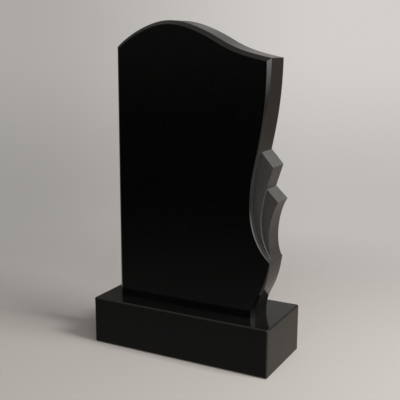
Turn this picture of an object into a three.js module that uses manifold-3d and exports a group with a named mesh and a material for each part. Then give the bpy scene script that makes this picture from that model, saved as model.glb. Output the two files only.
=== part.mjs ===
// Headstone of polished black granite: an upright stele with a wave-shaped top and, down its right side,
// two carved petals set back one behind the other, standing on a rectangular plinth of the same stone.
// Millimetres, +Z up, the face looks along -Y. The origin is the centre of the plinth's underside.

import * as THREE from "three";
import { mergeVertices } from "three/addons/utils/BufferGeometryUtils.js";
import Module from "manifold-3d";

const wasm = await Module();
wasm.setup();

// Stele, its width taken at the right shoulder
const steleWidth = 506;
const steleHeight = 862;
const steleThickness = 100;

// Plinth, as long and deep as the stele with what shows of the plinth's top on each side of it
const leftMargin = 56;
const rightMargin = 38;
const frontMargin = 63;
const backMargin = 87;
const plinthHeight = 150;
const plinthChamfer = 4;
const plinthLength = leftMargin + steleWidth + rightMargin;
const plinthDepth = frontMargin + steleThickness + backMargin;
const bedGap = 0.3;

// Chamfer round the stele's face: full on the open edges, narrower beside the carving and at its tip
const faceChamfer = 11;
const carvingChamfer = 5;
const tipChamfer = 2;
const backChamfer = 3;

// Petals: how far each rim lies behind the face, how much deeper its front is dished beside its groove,
// and how far its root reaches into the stone beside it
const firstRimRecess = 20;
const secondRimRecess = 26;
const petalDish = 5;
const petalRoot = 9;

// Corners of the stele's outline, as shares of its width and height
const leftFoot = [0, 0];
const leftShoulder = [0, 0.91];
const crest = [0.356, 1];
const wave = [0.692, 0.937];
const rightShoulder = [1, 0.88];
const carvingTop = [0.941, 0.574];
const carvingTip = [1.026, 0.208];
const rightFoot = [0.933, 0];

// The petals' outer top corners, the share of the first rim at which the second petal starts,
// and the point just inside the carving's tip where both rims end
const firstPetalCorner = [1.016, 0.526];
const secondPetalCorner = [1.047, 0.41];
const secondPetalStart = 0.24;
const rimEnd = [1.0232, 0.2074];

// Steps along a curve and across a petal
const curveSteps = 24;
const petalSteps = 48;
const dishSteps = 5;

// Share of a petal's length over which its root swings from its facet's line to straight into the stone
const rootSwing = 0.2;

const at = ([across, up]) => new THREE.Vector2(across * steleWidth, up * steleHeight);

const cubic = (...shares) => new THREE.CubicBezierCurve(...shares.map(at));

// The outline's sides run on below the bed, where the stele is then cut off flat
const belowBed = 3 * faceChamfer;
const under = (share) => at(share).setY(-belowBed);

// The stele's outline as a closed loop of stretches, clockwise from below the left foot,
// with the width of the face's chamfer where each stretch starts
const carvingEdge = cubic(carvingTop, [0.905, 0.479], [0.832, 0.309], carvingTip);
const stretch = (curve, steps, chamfer) => ({ curve, steps, chamfer });
const stretches = [
  stretch(new THREE.LineCurve(under(leftFoot), at(leftShoulder)), 1, faceChamfer),
  stretch(cubic(leftShoulder, [0.076, 0.951], [0.23, 1], crest), curveSteps, faceChamfer),
  stretch(cubic(crest, [0.466, 1], [0.586, 0.971], wave), curveSteps, faceChamfer),
  stretch(cubic(wave, [0.792, 0.905], [0.883, 0.893], rightShoulder), curveSteps, faceChamfer),
  stretch(cubic(rightShoulder, [0.999, 0.76], [0.976, 0.671], carvingTop), curveSteps, faceChamfer),
  stretch(carvingEdge, petalSteps, carvingChamfer),
  stretch(cubic(carvingTip, [1, 0.076], [0.933, 0.084], rightFoot), petalSteps, tipChamfer),
  stretch(new THREE.LineCurve(at(rightFoot), under(rightFoot)), 1, faceChamfer),
  stretch(new THREE.LineCurve(under(rightFoot), under(leftFoot)), 1, faceChamfer),
];

// Turns a direction along the outline to the one that points into the stone
const intoStone = (along) => new THREE.Vector2(along.y, -along.x);

// Share of a stretch that a line moved into the stone gives up at an end,
// where it meets its neighbour in a mitre
const mitreShare = (before, after, width, { curve }) => {
  const turn = before.curve.getTangentAt(1).angleTo(after.curve.getTangentAt(0));
  return (width * Math.tan(turn / 2)) / curve.getLength();
};

// The outline's corners, moved into the stone by a width worked out from the chamfer there
const moveIn = (widthOf) =>
  stretches.flatMap((here, index) => {
    const before = stretches.at(index - 1);
    const after = stretches[(index + 1) % stretches.length];
    const first = mitreShare(before, here, widthOf(here.chamfer), here);
    const last = 1 - mitreShare(here, after, widthOf(after.chamfer), here);
    return Array.from({ length: here.steps }, (_, step) => {
      const share = step / here.steps;
      const chamfer = THREE.MathUtils.lerp(here.chamfer, after.chamfer, share);
      const place = THREE.MathUtils.lerp(first, last, share);
      const inwards = intoStone(here.curve.getTangentAt(place));
      const point = here.curve.getPointAt(place).addScaledVector(inwards, widthOf(chamfer));
      return { point, chamfer };
    });
  });

// A closed solid skinned over rings with equal counts of points, its two ends filled
const skin = (rings, flatten) => {
  const count = rings[0].length;
  const positions = rings.flat().flatMap((point) => point.toArray());
  const triangles = [];
  for (let ring = 1; ring < rings.length; ring += 1) {
    const low = (ring - 1) * count;
    const high = ring * count;
    for (let here = 0; here < count; here += 1) {
      const next = (here + 1) % count;
      triangles.push(low + here, low + next, high + next);
      triangles.push(low + here, high + next, high + here);
    }
  }
  const lastRing = (rings.length - 1) * count;
  for (const [a, b, c] of THREE.ShapeUtils.triangulateShape(rings[0].map(flatten), [])) {
    triangles.push(c, b, a);
  }
  for (const [a, b, c] of THREE.ShapeUtils.triangulateShape(rings.at(-1).map(flatten), [])) {
    triangles.push(lastRing + a, lastRing + b, lastRing + c);
  }
  const geometry = new THREE.BufferGeometry();
  geometry.setAttribute("position", new THREE.Float32BufferAttribute(positions, 3));
  geometry.setIndex(triangles);
  return geometry;
};

const toManifold = (geometry) => {
  const bare = geometry.clone();
  bare.deleteAttribute("normal");
  bare.deleteAttribute("uv");
  const merged = mergeVertices(bare);
  return new wasm.Manifold(
    new wasm.Mesh({
      numProp: 3,
      vertProperties: new Float32Array(merged.attributes.position.array),
      triVerts: new Uint32Array(merged.index.array),
    }),
  );
};

const toGeometry = (solid) => {
  const mesh = solid.getMesh();
  const geometry = new THREE.BufferGeometry();
  geometry.setAttribute("position", new THREE.BufferAttribute(mesh.vertProperties, 3));
  geometry.setIndex(new THREE.BufferAttribute(mesh.triVerts, 1));
  geometry.computeVertexNormals();
  return geometry;
};

// The slab lies on its back here: X across, Y up the stele, Z from its back to its face
const slab = () => {
  const raise = (corners, heightOf) =>
    corners.map(({ point, chamfer }) => new THREE.Vector3(point.x, point.y, heightOf(chamfer))).reverse();
  const outline = moveIn(() => 0);
  const rings = [
    raise(moveIn(() => backChamfer), () => 0),
    raise(outline, () => backChamfer),
    raise(outline, (chamfer) => steleThickness - chamfer),
    raise(moveIn((chamfer) => chamfer), () => steleThickness),
  ];
  return skin(rings, ({ x, y }) => new THREE.Vector2(x, y));
};

// A petal in the slab's frame. Its front spans from a root inside the stone, beside the groove line,
// out to the rim, and is dished; its top is the flat facet between the two lines' first points.
const petal = (groove, rim, rimRecess) => {
  const facet = groove(0).point.sub(rim.getPointAt(0)).normalize();
  const rings = [];
  for (let step = 0; step <= petalSteps; step += 1) {
    const share = step / petalSteps;
    const { point, tangent } = groove(share);
    const swing = Math.min(1, share / rootSwing);
    const rootward = facet.clone().lerp(intoStone(tangent), swing).normalize();
    const root = point.addScaledVector(rootward, petalRoot);
    const rimPoint = rim.getPointAt(share);
    const backPoint = rimPoint.clone().addScaledVector(root.clone().sub(rimPoint).normalize(), backChamfer);
    const ring = [
      new THREE.Vector3(root.x, root.y, 0),
      new THREE.Vector3(backPoint.x, backPoint.y, 0),
      new THREE.Vector3(rimPoint.x, rimPoint.y, backChamfer),
    ];
    for (let across = 0; across <= dishSteps; across += 1) {
      const inwards = across / dishSteps;
      const place = rimPoint.clone().lerp(root, inwards);
      const recess = rimRecess + petalDish * inwards ** 2;
      ring.push(new THREE.Vector3(place.x, place.y, steleThickness - recess));
    }
    rings.push(ring);
  }
  return skin(rings, ({ x, z }) => new THREE.Vector2(x, z));
};

const along = (curve, start) => (share) => {
  const place = THREE.MathUtils.lerp(start, 1, share);
  return { point: curve.getPointAt(place), tangent: curve.getTangentAt(place) };
};

const buildStele = () => {
  const firstRim = cubic(firstPetalCorner, [0.987, 0.464], [0.871, 0.316], rimEnd);
  const secondRim = cubic(secondPetalCorner, [0.989, 0.354], [0.98, 0.249], rimEnd);
  const firstPetal = petal(along(carvingEdge, 0), firstRim, firstRimRecess);
  const secondPetal = petal(along(firstRim, secondPetalStart), secondRim, secondRimRecess);
  const waste = new THREE.BoxGeometry(3 * steleWidth, 2 * belowBed, 3 * steleThickness);
  waste.translate(0, -belowBed, 0);
  const carved = toManifold(slab()).add(toManifold(firstPetal)).add(toManifold(secondPetal));
  return toGeometry(carved.subtract(toManifold(waste)));
};

// The plinth as rings from its underside up, each a rectangle with its corners cut
const buildPlinth = () => {
  const ring = (shrink, height) => {
    const x = plinthLength / 2 - shrink;
    const y = plinthDepth / 2 - shrink;
    const cut = plinthChamfer;
    return [
      new THREE.Vector3(x, cut - y, height),
      new THREE.Vector3(x, y - cut, height),
      new THREE.Vector3(x - cut, y, height),
      new THREE.Vector3(cut - x, y, height),
      new THREE.Vector3(-x, y - cut, height),
      new THREE.Vector3(-x, cut - y, height),
      new THREE.Vector3(cut - x, -y, height),
      new THREE.Vector3(x - cut, -y, height),
    ];
  };
  const rings = [
    ring(plinthChamfer, 0),
    ring(0, plinthChamfer),
    ring(0, plinthHeight - plinthChamfer),
    ring(plinthChamfer, plinthHeight),
  ];
  return toGeometry(toManifold(skin(rings, ({ x, y }) => new THREE.Vector2(x, y))));
};

const blackGranite = (color) => new THREE.MeshStandardMaterial({ color, roughness: 0.12, metalness: 0 });

const headstone = new THREE.Group();

const plinth = new THREE.Mesh(buildPlinth(), blackGranite(0x1b1c1d));
plinth.name = "plinth";
headstone.add(plinth);

// Stood upright, the slab's Z turns to the front
const stele = new THREE.Mesh(buildStele(), blackGranite(0x17181a));
stele.name = "stele";
stele.rotation.x = Math.PI / 2;
stele.position.set(
  leftMargin - plinthLength / 2,
  frontMargin - plinthDepth / 2 + steleThickness,
  plinthHeight + bedGap,
);
headstone.add(stele);

export default headstone;
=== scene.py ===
"""Headstone of polished black granite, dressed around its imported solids.

Both stones are worked again over the sizes of the solids, with the small rounded arrises of finished masonry.
The slab and the plinth are polished. The fronts and the top facets of the two carved petals are left honed,
which turns the granite grey, and their outer sides and the wall behind them satin.
"""

import logging
import math
from bisect import bisect_left
from collections.abc import Callable
from dataclasses import dataclass
from enum import Enum
from typing import NamedTuple

import bmesh
import bpy
from mathutils import Matrix, Vector
from mathutils.geometry import interpolate_bezier


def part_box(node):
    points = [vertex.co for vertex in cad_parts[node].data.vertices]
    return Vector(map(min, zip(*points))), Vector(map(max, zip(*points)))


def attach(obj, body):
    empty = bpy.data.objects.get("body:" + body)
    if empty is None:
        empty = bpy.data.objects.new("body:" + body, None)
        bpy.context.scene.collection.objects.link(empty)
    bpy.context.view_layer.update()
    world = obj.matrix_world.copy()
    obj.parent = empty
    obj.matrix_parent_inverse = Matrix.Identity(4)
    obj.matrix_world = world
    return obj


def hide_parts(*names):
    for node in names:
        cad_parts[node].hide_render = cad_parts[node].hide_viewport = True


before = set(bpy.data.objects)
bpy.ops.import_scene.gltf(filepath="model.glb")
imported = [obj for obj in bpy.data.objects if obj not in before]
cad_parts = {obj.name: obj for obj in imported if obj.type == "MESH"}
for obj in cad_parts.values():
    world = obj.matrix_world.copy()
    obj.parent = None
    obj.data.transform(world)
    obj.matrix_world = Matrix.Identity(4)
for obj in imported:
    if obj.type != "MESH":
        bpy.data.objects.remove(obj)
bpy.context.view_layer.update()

# Angles between two faces: past the first three an edge is worked, and past the last it is shaded sharp
BESIDE_CHAMFER = math.radians(20)
BESIDE_PETAL = math.radians(30)
SQUARE_EDGE = math.radians(60)
CREASE = math.radians(50)

# What a face's normal has to reach upwards, to the front (-Y) or to the back to be turned that way,
# and what it has to stay under to the front and to the back to be a side wall
FACES_UP = 0.3
FACES_FRONT = -0.5
FACES_BACK = 0.9
SIDE_WALL = 0.3

# Where a light or a shade starts, and where it has its whole strength
Reach = tuple[float, float]

log = logging.getLogger("headstone")


class Finish(Enum):
    """How a face of the stone is worked, and the material slot that shows it."""

    POLISHED = 0
    HONED = 1
    SATIN = 2


class Signal:
    """A value that changes over a surface: wraps a node's output, so that maths on it adds Math nodes."""

    def __init__(self, shader: "Shader", socket: bpy.types.NodeSocket) -> None:
        """Keeps the shader and the output socket."""
        self.shader = shader
        self.socket = socket

    def maths(self, operation: str, *operands: "Signal | float") -> "Signal":
        """Adds one Math node for the operation, with the operands as its inputs in order."""
        node = self.shader.add("ShaderNodeMath", {"operation": operation}, dict(enumerate(operands)))
        return Signal(self.shader, node.outputs[0])

    def __add__(self, other: "Signal | float") -> "Signal":
        """Adds a value."""
        return self.maths("ADD", self, other)

    __radd__ = __add__

    def __sub__(self, other: "Signal | float") -> "Signal":
        """Takes a value away."""
        return self.maths("SUBTRACT", self, other)

    def __rsub__(self, other: float) -> "Signal":
        """Takes this value away from a number."""
        return self.maths("SUBTRACT", other, self)

    def __mul__(self, other: "Signal | float") -> "Signal":
        """Multiplies by a value."""
        return self.maths("MULTIPLY", self, other)

    __rmul__ = __mul__

    def rise(self, start: float, end: float) -> "Signal":
        """Climbs smoothly from 0 to 1 while this value goes from start to end.

        Args:
            start: Where the climb begins.
            end: Where it is complete, and it may be lower than start.

        Returns:
            The climb, from 0 to 1.
        """
        values = {"Value": self, "From Min": start, "From Max": end}
        node = self.shader.add("ShaderNodeMapRange", {"interpolation_type": "SMOOTHSTEP"}, values)
        return Signal(self.shader, node.outputs["Result"])


class Shader:
    """The nodes of one material or world."""

    def __init__(self, owner: "bpy.types.Material | bpy.types.World") -> None:
        """Gives the owner an empty node tree.

        Args:
            owner: The material or world that the nodes are for.
        """
        owner.use_nodes = True
        self.tree = owner.node_tree
        self.tree.nodes.clear()

    def add(self, kind: str, settings: dict[str, object], values: dict[str | int, object]) -> bpy.types.Node:
        """Adds one node.

        Args:
            kind: The node's type.
            settings: Its own settings, set before its inputs.
            values: A number, a colour, a socket or a signal for each named or numbered input.

        Returns:
            The node.
        """
        node = self.tree.nodes.new(kind)
        for name, setting in settings.items():
            setattr(node, name, setting)
        for name, value in values.items():
            source = value.socket if isinstance(value, Signal) else value
            if isinstance(source, bpy.types.NodeSocket):
                self.tree.links.new(source, node.inputs[name])
            else:
                node.inputs[name].default_value = source
        return node

    def coordinates(self, output: str) -> bpy.types.NodeSocket:
        """Returns one output of a Texture Coordinate node."""
        return self.add("ShaderNodeTexCoord", {}, {}).outputs[output]

    def signal(self, node: bpy.types.Node, output: str) -> Signal:
        """Wraps one output of a node."""
        return Signal(self, node.outputs[output])

    def blend(self, share: "Signal | float", low: object, high: object) -> bpy.types.NodeSocket:
        """Mixes two colours.

        Args:
            share: The share of the second colour.
            low: The first colour.
            high: The second colour.

        Returns:
            The mixed colour's socket.
        """
        settings = {"data_type": "RGBA", "clamp_factor": True}
        factor, first_colour, second_colour, mixed_colour = 0, 6, 7, 2
        values = {factor: share, first_colour: low, second_colour: high}
        return self.add("ShaderNodeMix", settings, values).outputs[mixed_colour]


def grey(level: float, warmth: float = 0.0) -> tuple[float, float, float, float]:
    """Gives the grey of a brightness, with more red and less blue by the share that warms it."""
    return (level * (1 + warmth), level, level * (1 - warmth), 1.0)


@dataclass(frozen=True)
class Granite:
    """Fine-grained black granite, worked to one finish.

    Attributes:
        name: The material's name.
        ground: Brightness of the dark crystals.
        fleck: Brightness of the pale grains between them.
        roughness: The surface's roughness between its crystals' own.
        roughness_spread: How far a crystal's roughness lies from it.
        relief: Depth that the grain is worked to, in metres.
        refraction: The stone's index of refraction.
        warmth: How warm its colour is.
        crystals_per_metre: Crystals in a metre of stone.
        grains_per_metre: Grains in a metre of stone, finer than the crystals.
        clouds_per_metre: Broad clouds in a metre of stone.
        pale_share: Share of the grains that are pale.
        contrast: How far the crystals' brightness lies from the ground, as a share.
        even_shade: The part of its shade that every crystal has.
        crystal_shade: The part that is its own.
        cloud_shade: The part that comes from the cloud it lies in.
        shade_reach: The shades of the darkest and the palest crystals.
        cloud_roughness: How far the clouds change the roughness.
        cloud_detail: Finer layers in the clouds.
        pit_detail: Finer layers in the pits between crystals.
    """

    name: str
    ground: float
    fleck: float
    roughness: float
    roughness_spread: float
    relief: float
    refraction: float = 1.34
    warmth: float = 0.04
    crystals_per_metre: float = 620.0
    grains_per_metre: float = 1500.0
    clouds_per_metre: float = 9.0
    pale_share: float = 0.02
    contrast: float = 0.6
    even_shade: float = 0.55
    crystal_shade: float = 0.55
    cloud_shade: float = 0.35
    shade_reach: Reach = (0.2, 1.4)
    cloud_roughness: float = 0.02
    cloud_detail: float = 3.0
    pit_detail: float = 2.0

    def material(self) -> bpy.types.Material:
        """Builds the material.

        Returns:
            The material, on Object coordinates.
        """
        material = bpy.data.materials.new(self.name)
        shader = Shader(material)
        place = shader.coordinates("Object")
        crystal = self.cells(shader, place, self.crystals_per_metre)
        grain = self.cells(shader, place, self.grains_per_metre)
        pale = grain.rise(1 - self.pale_share, 1 - self.pale_share / 2)
        cloud = self.noise(shader, place, self.clouds_per_metre, self.cloud_detail)
        shade = self.even_shade + crystal * self.crystal_shade + cloud * self.cloud_shade
        darkest = grey(self.ground * (1 - self.contrast), self.warmth)
        palest = grey(self.ground * (1 + self.contrast), self.warmth)
        crystals = shader.blend(shade.rise(*self.shade_reach), darkest, palest)
        colour = shader.blend(pale, crystals, grey(self.fleck, self.warmth))
        own_roughness = self.roughness + (crystal - 0.5) * self.roughness_spread
        roughness = own_roughness + (cloud - 0.5) * self.cloud_roughness
        pits = self.noise(shader, place, self.crystals_per_metre, self.pit_detail)
        bump = shader.add("ShaderNodeBump", {}, {"Strength": 1.0, "Distance": self.relief, "Height": pits})
        principled_values = {
            "Base Color": colour,
            "Roughness": roughness,
            "Normal": bump.outputs["Normal"],
            "IOR": self.refraction,
        }
        principled = shader.add("ShaderNodeBsdfPrincipled", {}, principled_values)
        shader.add("ShaderNodeOutputMaterial", {}, {"Surface": principled.outputs["BSDF"]})
        return material

    def cells(self, shader: Shader, place: bpy.types.NodeSocket, per_metre: float) -> Signal:
        """Breaks the stone into cells, and gives each a number of its own.

        Args:
            shader: The material's nodes.
            place: The coordinates' socket.
            per_metre: Cells in a metre of stone.

        Returns:
            A value from 0 to 1, the same all over a cell.
        """
        cells = shader.add("ShaderNodeTexVoronoi", {}, {"Vector": place, "Scale": per_metre})
        parts = shader.add("ShaderNodeSeparateColor", {}, {"Color": cells.outputs["Color"]})
        return shader.signal(parts, "Red")

    def noise(self, shader: Shader, place: bpy.types.NodeSocket, scale: float, detail: float) -> Signal:
        """Adds noise from 0 to 1, its scale in clouds per metre and its detail in finer layers."""
        values = {"Vector": place, "Scale": scale, "Detail": detail}
        return shader.signal(shader.add("ShaderNodeTexNoise", {}, values), "Fac")


STELE_POLISHED = Granite(
    name="stele_granite_polished",
    ground=0.0005,
    fleck=0.008,
    roughness=0.1,
    roughness_spread=0.04,
    relief=4e-6,
)
STELE_HONED = Granite(
    name="stele_granite_honed",
    ground=0.016,
    fleck=0.04,
    roughness=0.42,
    roughness_spread=0.1,
    relief=4e-5,
    refraction=1.14,
)
STELE_SATIN = Granite(
    name="stele_granite_satin",
    ground=0.006,
    fleck=0.02,
    roughness=0.26,
    roughness_spread=0.06,
    relief=1.5e-5,
    refraction=1.26,
)
PLINTH_POLISHED = Granite(
    name="plinth_granite_polished",
    ground=0.001,
    fleck=0.009,
    roughness=0.12,
    roughness_spread=0.05,
    relief=5e-6,
)


class Curve:
    """A cubic curve in the plane of the stele's face, followed by equal lengths.

    Attributes:
        fineness: The straight steps that it is sampled in.
    """

    fineness = 600

    def __init__(self, *handles: Vector) -> None:
        """Samples the curve finely and adds up its length.

        Args:
            handles: Its two ends, with its two handles between them.
        """
        self.points = interpolate_bezier(*handles, self.fineness + 1)
        self.reach = [0.0]
        for here, after in zip(self.points, self.points[1:]):
            self.reach.append(self.reach[-1] + (after - here).length)

    @property
    def length(self) -> float:
        """The curve's whole length."""
        return self.reach[-1]

    def at(self, share: float) -> tuple[Vector, Vector]:
        """Finds a place on the curve.

        Args:
            share: The share of the curve's length up to it.

        Returns:
            The point and the curve's direction there.
        """
        wanted = share * self.length
        index = bisect_left(self.reach, wanted, lo=1, hi=self.fineness)
        before, after = self.points[index - 1], self.points[index]
        part = (wanted - self.reach[index - 1]) / (self.reach[index] - self.reach[index - 1])
        return before.lerp(after, part), (after - before).normalized()


def straight(start: Vector, end: Vector) -> Curve:
    """Gives the straight line between two points as a curve."""
    return Curve(start, start.lerp(end, 1 / 3), start.lerp(end, 2 / 3), end)


def into_stone(direction: Vector) -> Vector:
    """Turns a direction along the clockwise outline to the one that points into the stone."""
    return Vector((direction.y, -direction.x))


class Stretch(NamedTuple):
    """One stretch of the slab's outline: its line, its steps, and the face's chamfer where it starts."""

    curve: Curve
    steps: int
    chamfer: float


def mitre_share(before: Stretch, after: Stretch, width: float, here: Stretch) -> float:
    """Finds the share of a stretch that a line moved in by a width gives up to the mitre of two stretches."""
    turn = before.curve.at(1)[1].angle(after.curve.at(0)[1])
    return width * math.tan(turn / 2) / here.curve.length


def move_in(stretches: list[Stretch], width_of: Callable[[float], float]) -> list[tuple[Vector, float]]:
    """Moves a closed outline into the stone.

    Args:
        stretches: The outline, clockwise.
        width_of: Gives the width to move a corner by from the width of the face's chamfer there.

    Returns:
        The moved corners, each with the width of the chamfer there.
    """
    corners = []
    for index, here in enumerate(stretches):
        before = stretches[index - 1]
        after = stretches[(index + 1) % len(stretches)]
        first = mitre_share(before, here, width_of(here.chamfer), here)
        last = 1 - mitre_share(here, after, width_of(after.chamfer), here)
        for step in range(here.steps):
            share = step / here.steps
            chamfer = here.chamfer + (after.chamfer - here.chamfer) * share
            point, direction = here.curve.at(first + (last - first) * share)
            corners.append((point + into_stone(direction) * width_of(chamfer), chamfer))
    return corners


def loft(rings: list[list[Vector]]) -> bmesh.types.BMesh:
    """Extrudes a closed ring of points through the rings that follow it, and closes both ends.

    Args:
        rings: The rings, with equal counts of points.

    Returns:
        The closed form, its faces pointing outwards.
    """
    form = bmesh.new()
    place_in_ring = form.verts.layers.int.new("place_in_ring")
    start = [form.verts.new(point) for point in rings[0]]
    for index, vert in enumerate(start):
        vert[place_in_ring] = index
    edges = [form.edges.new(ends) for ends in zip(start, start[1:] + start[:1])]
    bmesh.ops.contextual_create(form, geom=edges)
    for ring in rings[1:]:
        grown = bmesh.ops.extrude_edge_only(form, edges=edges)["geom"]
        for vert in (item for item in grown if isinstance(item, bmesh.types.BMVert)):
            vert.co = ring[vert[place_in_ring]]
        edges = [item for item in grown if isinstance(item, bmesh.types.BMEdge)]
    bmesh.ops.contextual_create(form, geom=edges)
    bmesh.ops.recalc_face_normals(form, faces=form.faces)
    return form


def round_arrises(form: bmesh.types.BMesh, width: float, sharper_than: float, segments: int = 2) -> None:
    """Rounds every edge where two faces meet sharply.

    Args:
        form: The form to work.
        width: How much of each face the rounding takes.
        sharper_than: The least angle between the faces, in radians.
        segments: Faces across the rounding.
    """
    sharp = [edge for edge in form.edges if edge.calc_face_angle(0.0) > sharper_than]
    bmesh.ops.bevel(
        form,
        geom=sharp,
        offset=width,
        offset_type="OFFSET",
        segments=segments,
        profile=0.5,
        affect="EDGES",
        clamp_overlap=True,
        material=-1,
    )


def new_object(name: str, form: bmesh.types.BMesh, materials: list[bpy.types.Material]) -> bpy.types.Object:
    """Makes an object of a form, and frees the form.

    Args:
        name: The object's name.
        form: The form.
        materials: The materials of its slots.

    Returns:
        The object, linked to the scene.
    """
    mesh = bpy.data.meshes.new(name)
    form.to_mesh(mesh)
    form.free()
    for material in materials:
        mesh.materials.append(material)
    piece = bpy.data.objects.new(name, mesh)
    bpy.context.scene.collection.objects.link(piece)
    return piece


def finish_piece(piece: bpy.types.Object, node: str) -> None:
    """Shades a stone smoothly between its creases, and puts it in its solid's place.

    Args:
        piece: The finished stone.
        node: The solid that it stands for.
    """
    piece.data.set_sharp_from_angle(angle=CREASE)
    piece.data.polygons.foreach_set("use_smooth", [True] * len(piece.data.polygons))
    weighted = piece.modifiers.new("flat_faces_stay_flat", "WEIGHTED_NORMAL")
    weighted.keep_sharp = True
    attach(piece, "root")
    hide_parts(node)
    log.info("%s: %d faces, stands for the solid %s", piece.name, len(piece.data.polygons), node)


@dataclass
class Stele:
    """The upright stone: a slab with a wave-shaped top and two petals carved down its right side.

    Attributes:
        width: Width at the right shoulder.
        face_chamfer: Chamfer round the face on the open edges.
        carving_chamfer: The same where the carving starts.
        tip_chamfer: The same at the carving's lower tip.
        back_chamfer: Chamfer round the back.
        arris: Width of the rounding on every worked edge.
        petal_recesses: How far each petal's rim lies behind the face.
        petal_dish: How much deeper a petal is beside its groove.
        petal_root: How far a petal reaches into the stone beside it.
        root_swing: Share of a petal's length over which its root turns from its facet's line into the stone.
        second_petal_start: Share of the first rim at which the second petal starts.
        below_bed: How far the slab is made to run below its bed before it is cut.
        curve_steps: Steps along a curve of the outline.
        petal_steps: Steps along a petal and the edges beside it.
        dish_steps: Steps across a petal.
        left_foot: The outline's first corner. This and the corners below are shares of the width and height.
        left_shoulder: Where the wave starts.
        crest: The wave's highest point.
        wave: Where it turns from falling to levelling out.
        right_shoulder: Where it ends.
        carving_top: Where the carving starts.
        carving_tip: Where it ends.
        right_foot: The outline's last corner.
        first_petal_corner: The first petal's outer top corner.
        second_petal_corner: The second petal's.
        rim_end: Just inside the carving's tip, where both rims end.
    """

    width: float = 0.506
    face_chamfer: float = 0.011
    carving_chamfer: float = 0.005
    tip_chamfer: float = 0.002
    back_chamfer: float = 0.003
    arris: float = 0.0007
    petal_recesses: tuple[float, float] = (0.020, 0.026)
    petal_dish: float = 0.005
    petal_root: float = 0.009
    root_swing: float = 0.2
    second_petal_start: float = 0.24
    below_bed: float = 0.033
    curve_steps: int = 40
    petal_steps: int = 64
    dish_steps: int = 6
    left_foot: tuple[float, float] = (0, 0)
    left_shoulder: tuple[float, float] = (0, 0.91)
    crest: tuple[float, float] = (0.356, 1)
    wave: tuple[float, float] = (0.692, 0.937)
    right_shoulder: tuple[float, float] = (1, 0.88)
    carving_top: tuple[float, float] = (0.941, 0.574)
    carving_tip: tuple[float, float] = (1.026, 0.208)
    right_foot: tuple[float, float] = (0.933, 0)
    first_petal_corner: tuple[float, float] = (1.016, 0.526)
    second_petal_corner: tuple[float, float] = (1.047, 0.41)
    rim_end: tuple[float, float] = (1.0232, 0.2074)

    def __post_init__(self) -> None:
        """Takes the stone's place from its solid, and draws the curves of the carving."""
        self.low, self.high = (Vector(corner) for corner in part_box("stele"))
        self.thickness = self.high.y - self.low.y
        self.carving_edge = self.curve(self.carving_top, (0.905, 0.479), (0.832, 0.309), self.carving_tip)
        self.first_rim = self.curve(self.first_petal_corner, (0.987, 0.464), (0.871, 0.316), self.rim_end)
        self.second_rim = self.curve(self.second_petal_corner, (0.989, 0.354), (0.98, 0.249), self.rim_end)

    def at(self, share: tuple[float, float]) -> Vector:
        """Gives a point in the face's plane from its shares of the width and height."""
        across, up = share
        return Vector((self.low.x + across * self.width, self.low.z + up * (self.high.z - self.low.z)))

    def curve(self, *shares: tuple[float, float]) -> Curve:
        """Draws a cubic curve through points given as shares."""
        return Curve(*(self.at(share) for share in shares))

    def behind_face(self, point: Vector, depth: float) -> Vector:
        """Places a point of the face's plane in the stone, at a depth behind the face."""
        return Vector((point.x, self.low.y + depth, point.y))

    def outline(self) -> list[Stretch]:
        """Goes round the slab, clockwise from below the left foot.

        Returns:
            The closed outline's stretches.
        """
        wave_rise = self.curve(self.left_shoulder, (0.076, 0.951), (0.23, 1), self.crest)
        wave_fall = self.curve(self.crest, (0.466, 1), (0.586, 0.971), self.wave)
        wave_end = self.curve(self.wave, (0.792, 0.905), (0.883, 0.893), self.right_shoulder)
        upper_side = self.curve(self.right_shoulder, (0.999, 0.76), (0.976, 0.671), self.carving_top)
        lower_side = self.curve(self.carving_tip, (1, 0.076), (0.933, 0.084), self.right_foot)
        down = Vector((0, -self.below_bed))
        left_end, right_end = self.at(self.left_foot) + down, self.at(self.right_foot) + down
        return [
            Stretch(straight(left_end, self.at(self.left_shoulder)), 1, self.face_chamfer),
            Stretch(wave_rise, self.curve_steps, self.face_chamfer),
            Stretch(wave_fall, self.curve_steps, self.face_chamfer),
            Stretch(wave_end, self.curve_steps, self.face_chamfer),
            Stretch(upper_side, self.curve_steps, self.face_chamfer),
            Stretch(self.carving_edge, self.petal_steps, self.carving_chamfer),
            Stretch(lower_side, self.petal_steps, self.tip_chamfer),
            Stretch(straight(self.at(self.right_foot), right_end), 1, self.face_chamfer),
            Stretch(straight(right_end, left_end), 1, self.face_chamfer),
        ]

    def slab(self) -> bmesh.types.BMesh:
        """Works the slab, leaves the wall that the petals stand against satin, and cuts the bed flat.

        Returns:
            The slab without its petals.
        """
        stretches = self.outline()

        def ring(width_of: Callable[[float], float], depth_of: Callable[[float], float]) -> list[Vector]:
            """Moves the outline into the stone by a width, at a depth behind the face."""
            corners = move_in(stretches, width_of)
            return [self.behind_face(point, depth_of(chamfer)) for point, chamfer in corners]

        form = loft([
            ring(lambda chamfer: self.back_chamfer, lambda chamfer: self.thickness),
            ring(lambda chamfer: 0.0, lambda chamfer: self.thickness - self.back_chamfer),
            ring(lambda chamfer: 0.0, lambda chamfer: chamfer),
            ring(lambda chamfer: chamfer, lambda chamfer: 0.0),
        ])
        round_arrises(form, self.arris, sharper_than=BESIDE_CHAMFER)
        lowest, highest = self.at(self.carving_tip).y, self.at(self.carving_top).y
        for face in form.faces:
            on_right_wall = face.normal.x > 0 and abs(face.normal.y) < SIDE_WALL
            if on_right_wall and lowest < face.calc_center_median().z < highest:
                face.material_index = Finish.SATIN.value
        everything = form.verts[:] + form.edges[:] + form.faces[:]
        bed, down = Vector((0, 0, self.low.z)), Vector((0, 0, -1))
        bmesh.ops.bisect_plane(form, geom=everything, plane_co=bed, plane_no=down, clear_outer=True)
        bmesh.ops.holes_fill(form, edges=[edge for edge in form.edges if edge.is_boundary])
        return form

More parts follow.
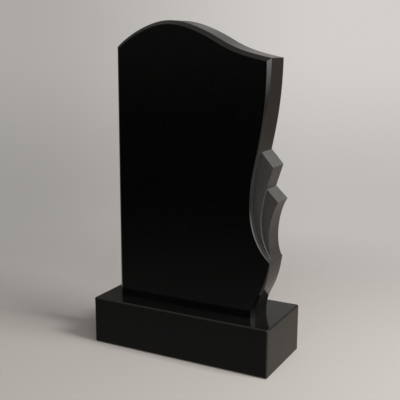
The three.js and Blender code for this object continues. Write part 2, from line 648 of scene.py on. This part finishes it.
    def second_groove(self, share: float) -> tuple[Vector, Vector]:
        """Follows the second petal's groove, which is the first petal's rim from where the second starts."""
        return self.first_rim.at(self.second_petal_start + (1 - self.second_petal_start) * share)

    def petal(
        self,
        groove: Callable[[float], tuple[Vector, Vector]],
        rim: Curve,
        recess: float,
        carved_below: float,
    ) -> bmesh.types.BMesh:
        """Carves one petal: a dished front from its groove out to its rim, under a flat top facet.

        The front and the facet are left honed, and the outer side satin, as the slab's wall is.

        Args:
            groove: Gives the point and direction of the groove at a share of its length.
            rim: The petal's outer edge.
            recess: How far the rim lies behind the face.
            carved_below: Height below which the side is the wall of the next petal's groove, honed too.

        Returns:
            The petal, its root hidden in the stone.
        """
        facet = (groove(0)[0] - rim.at(0)[0]).normalized()
        rings = []
        for step in range(self.petal_steps + 1):
            share = step / self.petal_steps
            point, tangent = groove(share)
            rootward = facet.lerp(into_stone(tangent), min(1, share / self.root_swing)).normalized()
            root = point + rootward * self.petal_root
            edge = rim.at(share)[0]
            back_edge = edge + (root - edge).normalized() * self.back_chamfer
            ring = [
                self.behind_face(root, self.thickness),
                self.behind_face(back_edge, self.thickness),
                self.behind_face(edge, self.thickness - self.back_chamfer),
            ]
            for across in range(self.dish_steps + 1):
                inwards = across / self.dish_steps
                ring.append(self.behind_face(edge.lerp(root, inwards), recess + self.petal_dish * inwards**2))
            rings.append(ring)
        form = loft(rings)
        round_arrises(form, self.arris, sharper_than=BESIDE_PETAL)
        facet_foot = rim.at(0)[0].y
        for face in (face for face in form.faces if face.normal.y < FACES_BACK):
            height = face.calc_center_median().z
            on_front = face.normal.y < FACES_FRONT
            on_facet = face.normal.z > FACES_UP and height > facet_foot
            carved = on_front or on_facet or height < carved_below
            face.material_index = (Finish.HONED if carved else Finish.SATIN).value
        return form

    def build(self) -> None:
        """Joins the slab and its petals into one stone, and puts it in its solid's place."""
        materials = [stone.material() for stone in (STELE_POLISHED, STELE_HONED, STELE_SATIN)]
        first_recess, second_recess = self.petal_recesses
        groove_top, no_groove = self.second_groove(0)[0].y, self.low.z
        first_form = self.petal(self.carving_edge.at, self.first_rim, first_recess, groove_top)
        second_form = self.petal(self.second_groove, self.second_rim, second_recess, no_groove)
        slab = new_object("slab", self.slab(), materials)
        petals = [
            new_object("first_petal", first_form, materials),
            new_object("second_petal", second_form, materials),
        ]
        for petal in petals:
            union = slab.modifiers.new(petal.name, "BOOLEAN")
            union.operation = "UNION"
            union.solver = "EXACT"
            union.object = petal
        form = bmesh.new()
        form.from_object(slab, bpy.context.evaluated_depsgraph_get())
        stele = new_object("carved_stele", form, materials)
        for part in (slab, *petals):
            bpy.data.objects.remove(part)
        finish_piece(stele, "stele")


@dataclass
class Plinth:
    """The low rectangular stone that carries the stele.

    Attributes:
        chamfer: Chamfer along all its edges.
        arris: Width of the rounding beside the chamfers.
    """

    chamfer: float = 0.004
    arris: float = 0.0007

    def build(self) -> None:
        """Works the stone over its solid's box, and puts it in its solid's place."""
        low, high = (Vector(corner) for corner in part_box("plinth"))
        form = bmesh.new()
        bmesh.ops.create_cube(form, size=1.0)
        bmesh.ops.scale(form, vec=high - low, verts=form.verts)
        bmesh.ops.translate(form, vec=(low + high) / 2, verts=form.verts)
        round_arrises(form, self.chamfer, sharper_than=SQUARE_EDGE, segments=1)
        round_arrises(form, self.arris, sharper_than=BESIDE_CHAMFER)
        plinth = new_object("worked_plinth", form, [PLINTH_POLISHED.material()])
        finish_piece(plinth, "plinth")


@dataclass(frozen=True)
class Room:
    """Soft light from all round, which the stones reflect, and the backdrop that the camera sees.

    A reach is measured in the direction's own part across (to the right), back or up, or for the first two
    lights in its nearness to them.

    Attributes:
        dimmest: The light that comes from everywhere.
        key: The soft light on the right.
        key_direction: Where it stands.
        key_reach: Its reach in nearness.
        key_top: Its reach in height, from where it ends above.
        fill: The weaker light above the viewer.
        fill_direction: Where it stands.
        fill_reach: Its reach in nearness.
        front_wall: The wall behind the viewer.
        front_wall_height: Its reach in height.
        front_wall_end: Its reach from where it ends at the back.
        back_wall: The left of the wall behind the stones.
        back_wall_right: What its right has on top of that.
        back_wall_turn: Its reach across, from its left to its right.
        back_wall_start: Its reach back.
        back_wall_foot: The share of its strength that it has low down.
        back_wall_gain: The share that it gains above.
        back_wall_height: Its reach in height.
        bounce: The light off the floor on the right.
        bounce_behind: What it has on top of that behind the stones.
        bounce_turn: Its reach back.
        bounce_side: Its reach across.
        bounce_height: Its reach downwards.
        ground: The floor's light from below.
        ground_height: Its reach downwards.
        ceiling: The light from above.
        ceiling_height: Its reach in height.
        warmth: How warm the light is.
        glow_warmth: How warm it is low down behind the stones.
        glow_turn: The glow's reach back.
        glow_height: Its reach downwards.
        backdrop: The left of the backdrop, which only the camera sees and which lights nothing.
        backdrop_right: The painted light that its right has on top of that.
        backdrop_turn: Its reach across.
        backdrop_foot: The share of its painted light that it has low down.
        backdrop_gain: The share that it gains above, as painted light.
        backdrop_height: Its reach in height.
        backdrop_warmth: How warm it is.
    """

    dimmest: float = 0.01
    key: float = 7.0
    key_direction: tuple[float, float, float] = (0.72, -0.44, 0.54)
    key_reach: Reach = (0.71, 0.88)
    key_top: Reach = (0.8, 0.4)
    fill: float = 2.4
    fill_direction: tuple[float, float, float] = (0.25, -0.76, 0.6)
    fill_reach: Reach = (0.8, 0.95)
    front_wall: float = 0.12
    front_wall_height: Reach = (-0.12, 0.06)
    front_wall_end: Reach = (0.7, 0.2)
    back_wall: float = 0.1
    back_wall_right: float = 0.25
    back_wall_turn: Reach = (-0.5, -0.34)
    back_wall_start: Reach = (-0.2, 0.6)
    back_wall_foot: float = 0.5
    back_wall_gain: float = 0.6
    back_wall_height: Reach = (-0.15, 0.25)
    bounce: float = 1.05
    bounce_behind: float = 0.6
    bounce_turn: Reach = (-0.3, 0.3)
    bounce_side: Reach = (0.3, 0.9)
    bounce_height: Reach = (0.0, -0.3)
    ground: float = 0.2
    ground_height: Reach = (-0.2, -0.4)
    ceiling: float = 0.62
    ceiling_height: Reach = (0.4, 0.95)
    warmth: float = 0.04
    glow_warmth: float = 0.13
    glow_turn: Reach = (-0.4, 0.4)
    glow_height: Reach = (0.3, -0.1)
    backdrop: float = 0.395
    backdrop_right: float = 0.225
    backdrop_turn: Reach = (-0.68, -0.3)
    backdrop_foot: float = 0.8
    backdrop_gain: float = 0.2
    backdrop_height: Reach = (-0.2, 0.0)
    backdrop_warmth: float = 0.045

    def build(self) -> None:
        """Makes the room the scene's world."""
        world = bpy.data.worlds.new("room")
        bpy.context.scene.world = world
        shader = Shader(world)
        direction = shader.coordinates("Generated")
        parts = shader.add("ShaderNodeSeparateXYZ", {}, {"Vector": direction})
        across, back, up = (shader.signal(parts, axis) for axis in "XYZ")
        near_key = self.nearness(shader, direction, self.key_direction)
        near_fill = self.nearness(shader, direction, self.fill_direction)
        lights = self.lights(across, back, up, near_key, near_fill)
        glow = back.rise(*self.glow_turn) * up.rise(*self.glow_height)
        tint = shader.blend(glow, grey(1.0, self.warmth), grey(1.0, self.glow_warmth))
        unseen = shader.add("ShaderNodeBackground", {}, {"Color": tint, "Strength": lights})
        # Painted light: the backdrop that the camera sees is brighter to the right and above, though it
        # lights nothing
        paler_right = self.backdrop + self.backdrop_right * across.rise(*self.backdrop_turn)
        paler_above = self.backdrop_foot + self.backdrop_gain * up.rise(*self.backdrop_height)
        backdrop = {"Color": grey(1.0, self.backdrop_warmth), "Strength": paler_right * paler_above}
        seen = shader.add("ShaderNodeBackground", {}, backdrop)
        path = shader.add("ShaderNodeLightPath", {}, {})
        layers = {0: path.outputs["Is Camera Ray"], 1: unseen.outputs[0], 2: seen.outputs[0]}
        mixed = shader.add("ShaderNodeMixShader", {}, layers)
        shader.add("ShaderNodeOutputWorld", {}, {"Surface": mixed.outputs[0]})

    def lights(self, across: Signal, back: Signal, up: Signal, near_key: Signal, near_fill: Signal) -> Signal:
        """Adds up the lights that come from a direction.

        Args:
            across: The direction's part to the right.
            back: Its part away from the viewer.
            up: Its part upwards.
            near_key: Its nearness to the key light.
            near_fill: Its nearness to the fill light.

        Returns:
            The strength of the room's light from there.
        """
        key = self.key * near_key.rise(*self.key_reach) * up.rise(*self.key_top)
        fill = self.fill * near_fill.rise(*self.fill_reach)
        front_wall = self.front_wall * up.rise(*self.front_wall_height) * back.rise(*self.front_wall_end)
        paler_right = self.back_wall + self.back_wall_right * across.rise(*self.back_wall_turn)
        paler_above = self.back_wall_foot + self.back_wall_gain * up.rise(*self.back_wall_height)
        back_wall = paler_right * back.rise(*self.back_wall_start) * paler_above
        stronger_behind = self.bounce + self.bounce_behind * back.rise(*self.bounce_turn)
        bounce = stronger_behind * across.rise(*self.bounce_side) * up.rise(*self.bounce_height)
        ground = self.ground * up.rise(*self.ground_height)
        ceiling = self.ceiling * up.rise(*self.ceiling_height)
        return self.dimmest + front_wall + back_wall + ground + bounce + ceiling + key + fill

    def nearness(
        self,
        shader: Shader,
        direction: bpy.types.NodeSocket,
        light: tuple[float, float, float],
    ) -> Signal:
        """Measures how nearly a direction points to a light.

        Args:
            shader: The world's nodes.
            direction: The direction's socket.
            light: Where the light stands.

        Returns:
            1 straight at the light, and 0 at right angles to it.
        """
        directions = {0: direction, 1: light}
        product = shader.add("ShaderNodeVectorMath", {"operation": "DOT_PRODUCT"}, directions)
        return shader.signal(product, "Value")


@dataclass
class Studio:
    """A pale floor in the soft room, a wide lamp high on the right, and the camera.

    Attributes:
        sensor_width: The camera's, in millimetres.
        focal_length: The camera's, in millimetres.
        eye: The camera's place.
        turn: How far the camera stands round to the right of the face, in radians.
        tilt: How far it looks down, in radians.
        roll: How far it leans, in radians.
        lamp_place: Place of the lamp that casts the shadows.
        lamp_width: Width of that lamp.
        lamp_power: Its power in watts.
        floor_width: Width of the floor.
        floor_shade: Brightness of the floor.
        floor_warmth: How warm its colour is.
        floor_fade: Distances from the middle between which it fades into the backdrop.
    """

    sensor_width: float = 36.0
    focal_length: float = 67.04
    eye: tuple[float, float, float] = (1.05126, -1.97796, 0.94869)
    turn: float = 0.48275
    tilt: float = 0.2082
    roll: float = 0.0053
    lamp_place: tuple[float, float, float] = (2.2, -0.1, 2.4)
    lamp_width: float = 1.0
    lamp_power: float = 285.0
    floor_width: float = 6.0
    floor_shade: float = 0.138
    floor_warmth: float = 0.05
    floor_fade: Reach = (0.6, 1.7)

    def build(self) -> None:
        """Sets up the camera, the light and the floor."""
        self.place_camera()
        Room().build()
        self.hang_lamp()
        self.lay_floor()
        bpy.context.scene.view_settings.view_transform = "Standard"

    def place_camera(self) -> None:
        """Places the camera at the photograph's angle."""
        lens = bpy.data.cameras.new("camera")
        lens.sensor_width = self.sensor_width
        lens.lens = self.focal_length
        camera = bpy.data.objects.new("camera", lens)
        turned = Matrix.Rotation(self.turn, 4, "Z") @ Matrix.Rotation(math.pi / 2 - self.tilt, 4, "X")
        camera.matrix_world = Matrix.Translation(self.eye) @ turned @ Matrix.Rotation(self.roll, 4, "Z")
        bpy.context.scene.collection.objects.link(camera)
        bpy.context.scene.camera = camera

    def hang_lamp(self) -> None:
        """Hangs the lamp, which casts the stones' shadows to the left."""
        light = bpy.data.lights.new("lamp", "AREA")
        light.size = self.lamp_width
        light.energy = self.lamp_power
        lamp = bpy.data.objects.new("lamp", light)
        place = Vector(self.lamp_place)
        lamp.matrix_world = Matrix.Translation(place) @ place.to_track_quat("Z", "Y").to_matrix().to_4x4()
        lamp.visible_glossy = False
        bpy.context.scene.collection.objects.link(lamp)

    def lay_floor(self) -> None:
        """Lays a pale floor that fades into the backdrop away from the stones."""
        form = bmesh.new()
        bmesh.ops.create_grid(form, x_segments=1, y_segments=1, size=self.floor_width / 2)
        material = bpy.data.materials.new("pale_floor")
        shader = Shader(material)
        place = shader.coordinates("Object")
        distance = shader.add("ShaderNodeVectorMath", {"operation": "LENGTH"}, {0: place})
        faded = shader.signal(distance, "Value").rise(*self.floor_fade)
        matt = shader.add("ShaderNodeBsdfDiffuse", {}, {"Color": grey(self.floor_shade, self.floor_warmth)})
        clear = shader.add("ShaderNodeBsdfTransparent", {}, {})
        mixed = shader.add("ShaderNodeMixShader", {}, {0: faded, 1: matt.outputs[0], 2: clear.outputs[0]})
        shader.add("ShaderNodeOutputMaterial", {}, {"Surface": mixed.outputs[0]})
        floor = new_object("floor", form, [material])
        floor.visible_glossy = False


def main() -> None:
    """Builds the studio and both stones."""
    logging.basicConfig(level=logging.INFO, format="%(name)s: %(message)s")
    Studio().build()
    Plinth().build()
    Stele().build()


if __name__ == "__main__":
    main()
